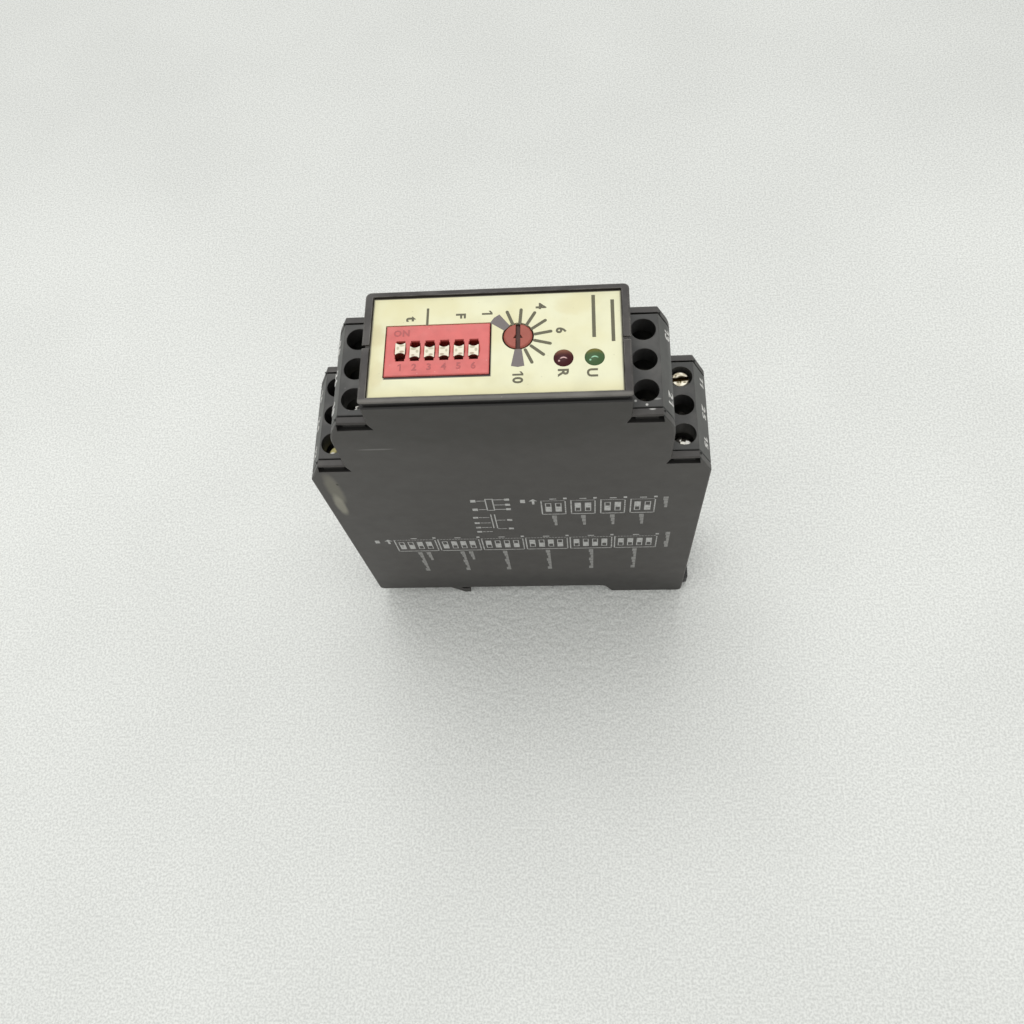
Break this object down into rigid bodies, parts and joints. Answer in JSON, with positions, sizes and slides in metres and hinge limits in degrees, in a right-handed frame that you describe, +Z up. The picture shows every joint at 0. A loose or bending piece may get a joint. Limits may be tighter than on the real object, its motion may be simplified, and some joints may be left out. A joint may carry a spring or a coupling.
{
  "type": "multifunction timer relay",
  "caption": "Slim timer relay module for a 35 mm rail: stepped grey case with screw terminals on both ends, cream front plate with slide switches, a time knob and lamps.",
  "frame": {"origin": "middle of the base, on the surface the module stands on, under the middle of its overall length", "axes": "+Z up, out of the front plate; +X along the length, towards the end with the rail clip; +Y across the width"},
  "size_m": [0.0794, 0.0226, 0.1],
  "materials": {
    "housing_plastic": "fine-grained anthracite grey moulding",
    "cap_plastic": "satin anthracite grey moulding",
    "terminal_plastic": "satin anthracite grey moulding",
    "legend_cream": "cream film with dark olive print",
    "switch_red": "satin signal red moulding",
    "slider_ivory": "ivory moulding",
    "knob_red": "brick red moulding",
    "potentiometer_case": "blue moulding",
    "lamp_red": "unlit red resin",
    "lamp_green": "unlit green resin",
    "clip_plastic": "black moulding",
    "spring_steel": "bare spring steel",
    "screw_steel": "bright plated steel",
    "clamp_steel": "plated steel",
    "bar_brass": "bare brass",
    "board_laminate": "green laminate",
    "relay_case": "blue moulding",
    "capacitor_case": "ochre moulding",
    "capacitor_can": "drawn can",
    "chip_case": "black moulding"
  },
  "bodies": {
    "module": {"clip_spring": "spring_steel", "contact_bars_lower_left": "bar_brass", "contact_bars_lower_right": "bar_brass", "contact_bars_upper_left": "bar_brass", "contact_bars_upper_right": "bar_brass", "dip_switch_body": "switch_red", "film_capacitor": "capacitor_case", "front_cap": "cap_plastic", "front_circuit_board": "board_laminate", "green_lamp": "lamp_green", "housing_shell": "housing_plastic", "legend_plate": "legend_cream", "main_circuit_board": "board_laminate", "output_relay_lower": "relay_case", "output_relay_upper": "relay_case", "potentiometer_body": "potentiometer_case", "red_lamp": "lamp_red", "smoothing_capacitor": "capacitor_can", "terminal_block_lower_left": "terminal_plastic", "terminal_block_lower_right": "terminal_plastic", "terminal_block_upper_left": "terminal_plastic", "terminal_block_upper_right": "terminal_plastic", "timer_chip": "chip_case"},
    "time_knob": {"time_knob": "knob_red"},
    "rail_clip": {"rail_clip": "clip_plastic"},
    "dip_slider_1": {"dip_slider_1": "slider_ivory"},
    "dip_slider_2": {"dip_slider_2": "slider_ivory"},
    "dip_slider_3": {"dip_slider_3": "slider_ivory"},
    "dip_slider_4": {"dip_slider_4": "slider_ivory"},
    "dip_slider_5": {"dip_slider_5": "slider_ivory"},
    "dip_slider_6": {"dip_slider_6": "slider_ivory"},
    "clamp_upper_left_far": {"clamp_plate_upper_left_far": "clamp_steel"},
    "screw_upper_left_far": {"terminal_screw_upper_left_far": "screw_steel"},
    "clamp_upper_left_middle": {"clamp_plate_upper_left_middle": "clamp_steel"},
    "screw_upper_left_middle": {"terminal_screw_upper_left_middle": "screw_steel"},
    "clamp_upper_left_near": {"clamp_plate_upper_left_near": "clamp_steel"},
    "screw_upper_left_near": {"terminal_screw_upper_left_near": "screw_steel"},
    "clamp_upper_right_far": {"clamp_plate_upper_right_far": "clamp_steel"},
    "screw_upper_right_far": {"terminal_screw_upper_right_far": "screw_steel"},
    "clamp_upper_right_middle": {"clamp_plate_upper_right_middle": "clamp_steel"},
    "screw_upper_right_middle": {"terminal_screw_upper_right_middle": "screw_steel"},
    "clamp_upper_right_near": {"clamp_plate_upper_right_near": "clamp_steel"},
    "screw_upper_right_near": {"terminal_screw_upper_right_near": "screw_steel"},
    "clamp_lower_left_far": {"clamp_plate_lower_left_far": "clamp_steel"},
    "screw_lower_left_far": {"terminal_screw_lower_left_far": "screw_steel"},
    "clamp_lower_left_middle": {"clamp_plate_lower_left_middle": "clamp_steel"},
    "screw_lower_left_middle": {"terminal_screw_lower_left_middle": "screw_steel"},
    "clamp_lower_left_near": {"clamp_plate_lower_left_near": "clamp_steel"},
    "screw_lower_left_near": {"terminal_screw_lower_left_near": "screw_steel"},
    "clamp_lower_right_far": {"clamp_plate_lower_right_far": "clamp_steel"},
    "screw_lower_right_far": {"terminal_screw_lower_right_far": "screw_steel"},
    "clamp_lower_right_middle": {"clamp_plate_lower_right_middle": "clamp_steel"},
    "screw_lower_right_middle": {"terminal_screw_lower_right_middle": "screw_steel"},
    "clamp_lower_right_near": {"clamp_plate_lower_right_near": "clamp_steel"},
    "screw_lower_right_near": {"terminal_screw_lower_right_near": "screw_steel"}
  },
  "joints": [
    {"name": "time_setting", "type": "hinge", "parent": "module", "child": "time_knob", "pos_m": [0.00315, 0.00133, 0.0991], "axis": [0, 0, 1], "range_deg": [-181, 46.4]},
    {"name": "rail_release", "type": "slide", "parent": "module", "child": "rail_clip", "axis": [1, 0, 0], "range_m": [0, 0.0035], "stiffness_N_per_m": 2500, "springref_m": -0.002, "deforming": ["clip_spring"]},
    {"name": "dip_1", "type": "slide", "parent": "module", "child": "dip_slider_1", "axis": [0, 1, 0], "range_m": [-0.00075, 0]},
    {"name": "dip_2", "type": "slide", "parent": "module", "child": "dip_slider_2", "axis": [0, 1, 0], "range_m": [0, 0.00075]},
    {"name": "dip_3", "type": "slide", "parent": "module", "child": "dip_slider_3", "axis": [0, 1, 0], "range_m": [0, 0.00075]},
    {"name": "dip_4", "type": "slide", "parent": "module", "child": "dip_slider_4", "axis": [0, 1, 0], "range_m": [0, 0.00075]},
    {"name": "dip_5", "type": "slide", "parent": "module", "child": "dip_slider_5", "axis": [0, 1, 0], "range_m": [0, 0.00075]},
    {"name": "dip_6", "type": "slide", "parent": "module", "child": "dip_slider_6", "axis": [0, 1, 0], "range_m": [0, 0.00075]},
    {"name": "clamp_lift_upper_left_far", "type": "slide", "parent": "module", "child": "clamp_upper_left_far", "axis": [0, 0, 1], "range_m": [0, 0.0048]},
    {"name": "screw_turn_upper_left_far", "type": "hinge", "parent": "clamp_upper_left_far", "child": "screw_upper_left_far", "pos_m": [-0.02645, 0.00625, 0.086], "axis": [0, 0, 1], "range_deg": [0, 3456.5]},
    {"name": "clamp_lift_upper_left_middle", "type": "slide", "parent": "module", "child": "clamp_upper_left_middle", "axis": [0, 0, 1], "range_m": [0, 0.0048]},
    {"name": "screw_turn_upper_left_middle", "type": "hinge", "parent": "clamp_upper_left_middle", "child": "screw_upper_left_middle", "pos_m": [-0.02645, 0, 0.086], "axis": [0, 0, 1], "range_deg": [0, 3456.5]},
    {"name": "clamp_lift_upper_left_near", "type": "slide", "parent": "module", "child": "clamp_upper_left_near", "axis": [0, 0, 1], "range_m": [-0.0006, 0.0042]},
    {"name": "screw_turn_upper_left_near", "type": "hinge", "parent": "clamp_upper_left_near", "child": "screw_upper_left_near", "pos_m": [-0.02645, -0.00625, 0.0866], "axis": [0, 0, 1], "range_deg": [-432.5, 3024.5]},
    {"name": "clamp_lift_upper_right_far", "type": "slide", "parent": "module", "child": "clamp_upper_right_far", "axis": [0, 0, 1], "range_m": [0, 0.0048]},
    {"name": "screw_turn_upper_right_far", "type": "hinge", "parent": "clamp_upper_right_far", "child": "screw_upper_right_far", "pos_m": [0.02495, 0.00625, 0.086], "axis": [0, 0, 1], "range_deg": [0, 3456.5]},
    {"name": "clamp_lift_upper_right_middle", "type": "slide", "parent": "module", "child": "clamp_upper_right_middle", "axis": [0, 0, 1], "range_m": [0, 0.0048]},
    {"name": "screw_turn_upper_right_middle", "type": "hinge", "parent": "clamp_upper_right_middle", "child": "screw_upper_right_middle", "pos_m": [0.02495, 0, 0.086], "axis": [0, 0, 1], "range_deg": [0, 3456.5]},
    {"name": "clamp_lift_upper_right_near", "type": "slide", "parent": "module", "child": "clamp_upper_right_near", "axis": [0, 0, 1], "range_m": [0, 0.0048]},
    {"name": "screw_turn_upper_right_near", "type": "hinge", "parent": "clamp_upper_right_near", "child": "screw_upper_right_near", "pos_m": [0.02495, -0.00625, 0.086], "axis": [0, 0, 1], "range_deg": [0, 3456.5]},
    {"name": "clamp_lift_lower_left_far", "type": "slide", "parent": "module", "child": "clamp_lower_left_far", "axis": [0, 0, 1], "range_m": [0, 0.0048]},
    {"name": "screw_turn_lower_left_far", "type": "hinge", "parent": "clamp_lower_left_far", "child": "screw_lower_left_far", "pos_m": [-0.0344, 0.00625, 0.0696], "axis": [0, 0, 1], "range_deg": [0, 3456.5]},
    {"name": "clamp_lift_lower_left_middle", "type": "slide", "parent": "module", "child": "clamp_lower_left_middle", "axis": [0, 0, 1], "range_m": [0, 0.0048]},
    {"name": "screw_turn_lower_left_middle", "type": "hinge", "parent": "clamp_lower_left_middle", "child": "screw_lower_left_middle", "pos_m": [-0.0344, 0, 0.0696], "axis": [0, 0, 1], "range_deg": [0, 3456.5]},
    {"name": "clamp_lift_lower_left_near", "type": "slide", "parent": "module", "child": "clamp_lower_left_near", "axis": [0, 0, 1], "range_m": [-0.0013, 0.0035]},
    {"name": "screw_turn_lower_left_near", "type": "hinge", "parent": "clamp_lower_left_near", "child": "screw_lower_left_near", "pos_m": [-0.0344, -0.00625, 0.0709], "axis": [0, 0, 1], "range_deg": [-936.5, 2520.5]},
    {"name": "clamp_lift_lower_right_far", "type": "slide", "parent": "module", "child": "clamp_lower_right_far", "axis": [0, 0, 1], "range_m": [-0.0046, 0.0002]},
    {"name": "screw_turn_lower_right_far", "type": "hinge", "parent": "clamp_lower_right_far", "child": "screw_lower_right_far", "pos_m": [0.0329, 0.00625, 0.0742], "axis": [0, 0, 1], "range_deg": [-3312.5, 144.5]},
    {"name": "clamp_lift_lower_right_middle", "type": "slide", "parent": "module", "child": "clamp_lower_right_middle", "axis": [0, 0, 1], "range_m": [0, 0.0048]},
    {"name": "screw_turn_lower_right_middle", "type": "hinge", "parent": "clamp_lower_right_middle", "child": "screw_lower_right_middle", "pos_m": [0.0329, 0, 0.0696], "axis": [0, 0, 1], "range_deg": [0, 3456.5]},
    {"name": "clamp_lift_lower_right_near", "type": "slide", "parent": "module", "child": "clamp_lower_right_near", "axis": [0, 0, 1], "range_m": [-0.0011, 0.0037]},
    {"name": "screw_turn_lower_right_near", "type": "hinge", "parent": "clamp_lower_right_near", "child": "screw_lower_right_near", "pos_m": [0.0329, -0.00625, 0.0707], "axis": [0, 0, 1], "range_deg": [-792.5, 2664.5]}
  ],
  "couplings": [
    {"joint": "screw_turn_upper_left_far", "follows": "clamp_lift_upper_left_far", "rad_per_m": 12566},
    {"joint": "screw_turn_upper_left_middle", "follows": "clamp_lift_upper_left_middle", "rad_per_m": 12566},
    {"joint": "screw_turn_upper_left_near", "follows": "clamp_lift_upper_left_near", "rad_per_m": 12566},
    {"joint": "screw_turn_upper_right_far", "follows": "clamp_lift_upper_right_far", "rad_per_m": 12566},
    {"joint": "screw_turn_upper_right_middle", "follows": "clamp_lift_upper_right_middle", "rad_per_m": 12566},
    {"joint": "screw_turn_upper_right_near", "follows": "clamp_lift_upper_right_near", "rad_per_m": 12566},
    {"joint": "screw_turn_lower_left_far", "follows": "clamp_lift_lower_left_far", "rad_per_m": 12566},
    {"joint": "screw_turn_lower_left_middle", "follows": "clamp_lift_lower_left_middle", "rad_per_m": 12566},
    {"joint": "screw_turn_lower_left_near", "follows": "clamp_lift_lower_left_near", "rad_per_m": 12566},
    {"joint": "screw_turn_lower_right_far", "follows": "clamp_lift_lower_right_far", "rad_per_m": 12566},
    {"joint": "screw_turn_lower_right_middle", "follows": "clamp_lift_lower_right_middle", "rad_per_m": 12566},
    {"joint": "screw_turn_lower_right_near", "follows": "clamp_lift_lower_right_near", "rad_per_m": 12566}
  ]
}
